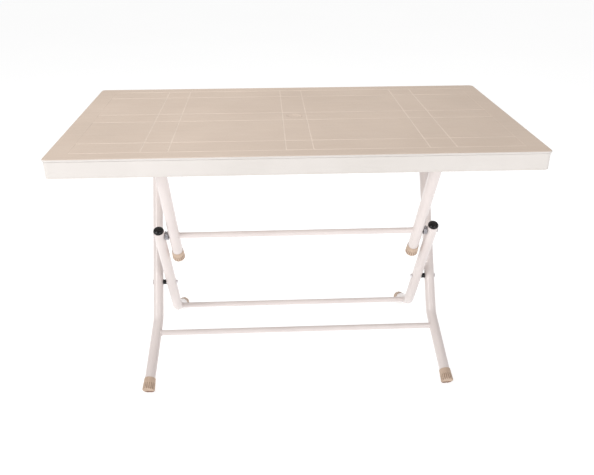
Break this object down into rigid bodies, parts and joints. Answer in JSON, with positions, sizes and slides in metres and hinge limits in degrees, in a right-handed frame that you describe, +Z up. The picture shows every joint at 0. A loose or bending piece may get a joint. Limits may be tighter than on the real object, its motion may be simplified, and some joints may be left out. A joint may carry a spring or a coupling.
{
  "type": "folding table",
  "caption": "Rectangular folding garden table: ribbed plastic top with a parasol hole and plug, on crossed tubular steel legs hinged to fold flat under it.",
  "frame": {"origin": "on the floor, under the middle of the tabletop", "axes": "+X along the long side of the top, +Y from the front edge to the rear edge, +Z up"},
  "size_m": [1.2, 0.7, 0.74],
  "materials": {
    "top_plastic": "taupe polypropylene, finely grained top, off-white sides",
    "plug_plastic": "taupe moulded plastic",
    "hinge_plastic": "off-white moulded nylon",
    "frame_paint": "glossy off-white powder coat on steel tube",
    "ferrule_plastic": "ribbed beige-brown soft plastic",
    "cap_plastic": "glossy black moulded plastic",
    "zinc_steel": "bright zinc-plated steel"
  },
  "bodies": {
    "top": {"tabletop": "top_plastic", "front_hinge_bracket_left": "hinge_plastic", "front_hinge_bracket_right": "hinge_plastic", "front_hinge_cap_left": "hinge_plastic", "front_hinge_cap_right": "hinge_plastic", "front_hinge_screw_fore_left": "zinc_steel", "front_hinge_screw_fore_right": "zinc_steel", "front_hinge_screw_aft_left": "zinc_steel", "front_hinge_screw_aft_right": "zinc_steel", "rear_hinge_bracket_left": "hinge_plastic", "rear_hinge_bracket_right": "hinge_plastic", "rear_hinge_cap_left": "hinge_plastic", "rear_hinge_cap_right": "hinge_plastic", "rear_hinge_screw_fore_left": "zinc_steel", "rear_hinge_screw_fore_right": "zinc_steel", "rear_hinge_screw_aft_left": "zinc_steel", "rear_hinge_screw_aft_right": "zinc_steel"},
    "plug": {"parasol_plug": "plug_plastic"},
    "strut": {"strut_tube_left": "frame_paint", "strut_tube_right": "frame_paint", "strut_ferrule_left": "ferrule_plastic", "strut_ferrule_right": "ferrule_plastic", "strut_top_cap_left": "cap_plastic", "strut_top_cap_right": "cap_plastic", "strut_axle": "frame_paint", "elbow_bar": "frame_paint"},
    "rear_leg": {"rear_leg_tube_left": "frame_paint", "rear_leg_tube_right": "frame_paint", "rear_leg_cap_left": "cap_plastic", "rear_leg_cap_right": "cap_plastic", "rear_foot_left": "ferrule_plastic", "rear_foot_right": "ferrule_plastic", "elbow_bolt_left": "zinc_steel", "elbow_bolt_right": "zinc_steel", "elbow_washer_left": "zinc_steel", "elbow_washer_right": "zinc_steel", "rear_leg_bar": "frame_paint"},
    "front_leg": {"front_leg_tube_left": "frame_paint", "front_leg_tube_right": "frame_paint", "front_leg_cap_left": "cap_plastic", "front_leg_cap_right": "cap_plastic", "front_foot_left": "ferrule_plastic", "front_foot_right": "ferrule_plastic", "cross_bolt_left": "zinc_steel", "cross_bolt_right": "zinc_steel", "cross_spacer_left": "cap_plastic", "cross_spacer_right": "cap_plastic", "cross_nut_left": "zinc_steel", "cross_nut_right": "zinc_steel", "front_leg_axle": "frame_paint", "front_leg_bar": "frame_paint"}
  },
  "joints": [
    {"name": "front_leg_fold", "type": "hinge", "parent": "top", "child": "front_leg", "pos_m": [0, 0.282, 0.684], "axis": [-1, 0, 0], "range_deg": [0, 54]},
    {"name": "strut_fold", "type": "hinge", "parent": "top", "child": "strut", "pos_m": [0, -0.282, 0.684], "axis": [1, 0, 0], "range_deg": [0, 56.2]},
    {"name": "cross_pivot", "type": "hinge", "parent": "front_leg", "child": "rear_leg", "pos_m": [0, 0, 0.226], "axis": [-1, 0, 0], "range_deg": [0, 60.9]},
    {"name": "plug_lift", "type": "slide", "parent": "top", "child": "plug", "axis": [0, 0, 1], "range_m": [0, 0.05]}
  ],
  "couplings": [
    {"joint": "strut_fold", "follows": "front_leg_fold", "ratio": 1.04},
    {"joint": "cross_pivot", "follows": "front_leg_fold", "ratio": 1.127}
  ]
}
